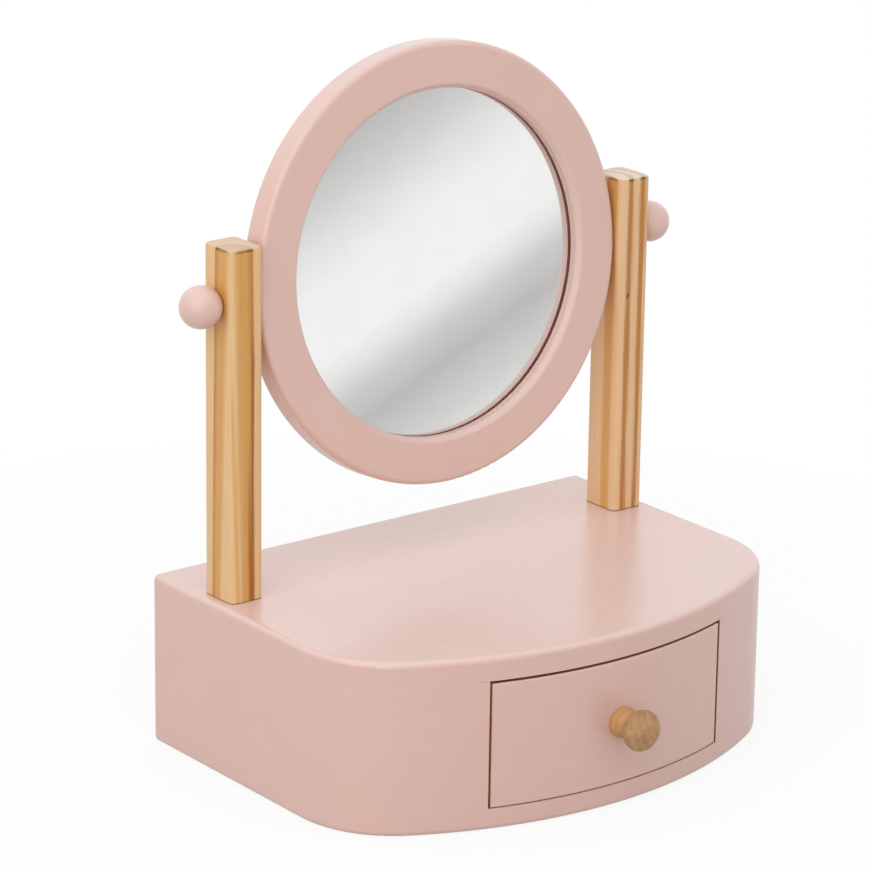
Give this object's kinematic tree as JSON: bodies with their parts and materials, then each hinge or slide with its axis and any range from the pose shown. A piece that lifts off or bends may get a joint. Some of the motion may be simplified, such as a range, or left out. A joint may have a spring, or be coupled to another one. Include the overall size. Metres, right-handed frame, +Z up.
{
  "type": "vanity mirror",
  "caption": "Table-top vanity mirror: a round framed mirror tilts between two wooden posts on a bow-fronted base with a drawer and turned knob.",
  "frame": {"origin": "on the underside of the base, midway between the posts and under the line through them", "axes": "+Z up, -Y to the front, where the drawer opens, +X to the right as seen from the front"},
  "size_m": [0.221, 0.1637, 0.2556],
  "materials": {
    "pink_paint": "satin pale pink paint on fibreboard",
    "pine": "clear satin lacquer on pine",
    "beech_knob": "bare turned beech",
    "plywood": "sanded birch plywood",
    "hardboard": "smooth brown hardboard",
    "dowel_wood": "plain beech dowel",
    "mirror_glass": "polished, silvered behind",
    "backing_pad": "soft matt pad",
    "zinc_steel": "zinc plated"
  },
  "bodies": {
    "base": {"top_board": "pink_paint", "bottom_board": "pink_paint", "left_side_panel": "pink_paint", "right_side_panel": "pink_paint", "left_corner_block": "pink_paint", "right_corner_block": "pink_paint", "back_panel": "pink_paint", "left_divider": "pink_paint", "right_divider": "pink_paint", "case_dowels": "dowel_wood", "bottom_screws": "zinc_steel", "left_post": "pine", "right_post": "pine", "post_screws": "zinc_steel"},
    "drawer": {"drawer_front": "pink_paint", "drawer_left_side": "plywood", "drawer_right_side": "plywood", "drawer_back": "plywood", "drawer_bottom": "plywood", "drawer_brads": "zinc_steel", "drawer_knob": "beech_knob", "knob_screw": "zinc_steel"},
    "mirror": {"mirror_frame": "pink_paint", "mirror_glass": "mirror_glass", "mirror_pad": "backing_pad", "mirror_back_panel": "hardboard", "mirror_back_screws": "zinc_steel", "left_pivot_pin": "dowel_wood", "right_pivot_pin": "dowel_wood", "left_pivot_ball": "pink_paint", "right_pivot_ball": "pink_paint"}
  },
  "joints": [
    {"name": "drawer_slide", "type": "slide", "parent": "base", "child": "drawer", "axis": [0, -1, 0], "range_m": [0, 0.095]},
    {"name": "mirror_tilt", "type": "hinge", "parent": "base", "child": "mirror", "pos_m": [0, 0, 0.17435], "axis": [1, 0, 0], "continuous": true}
  ]
}
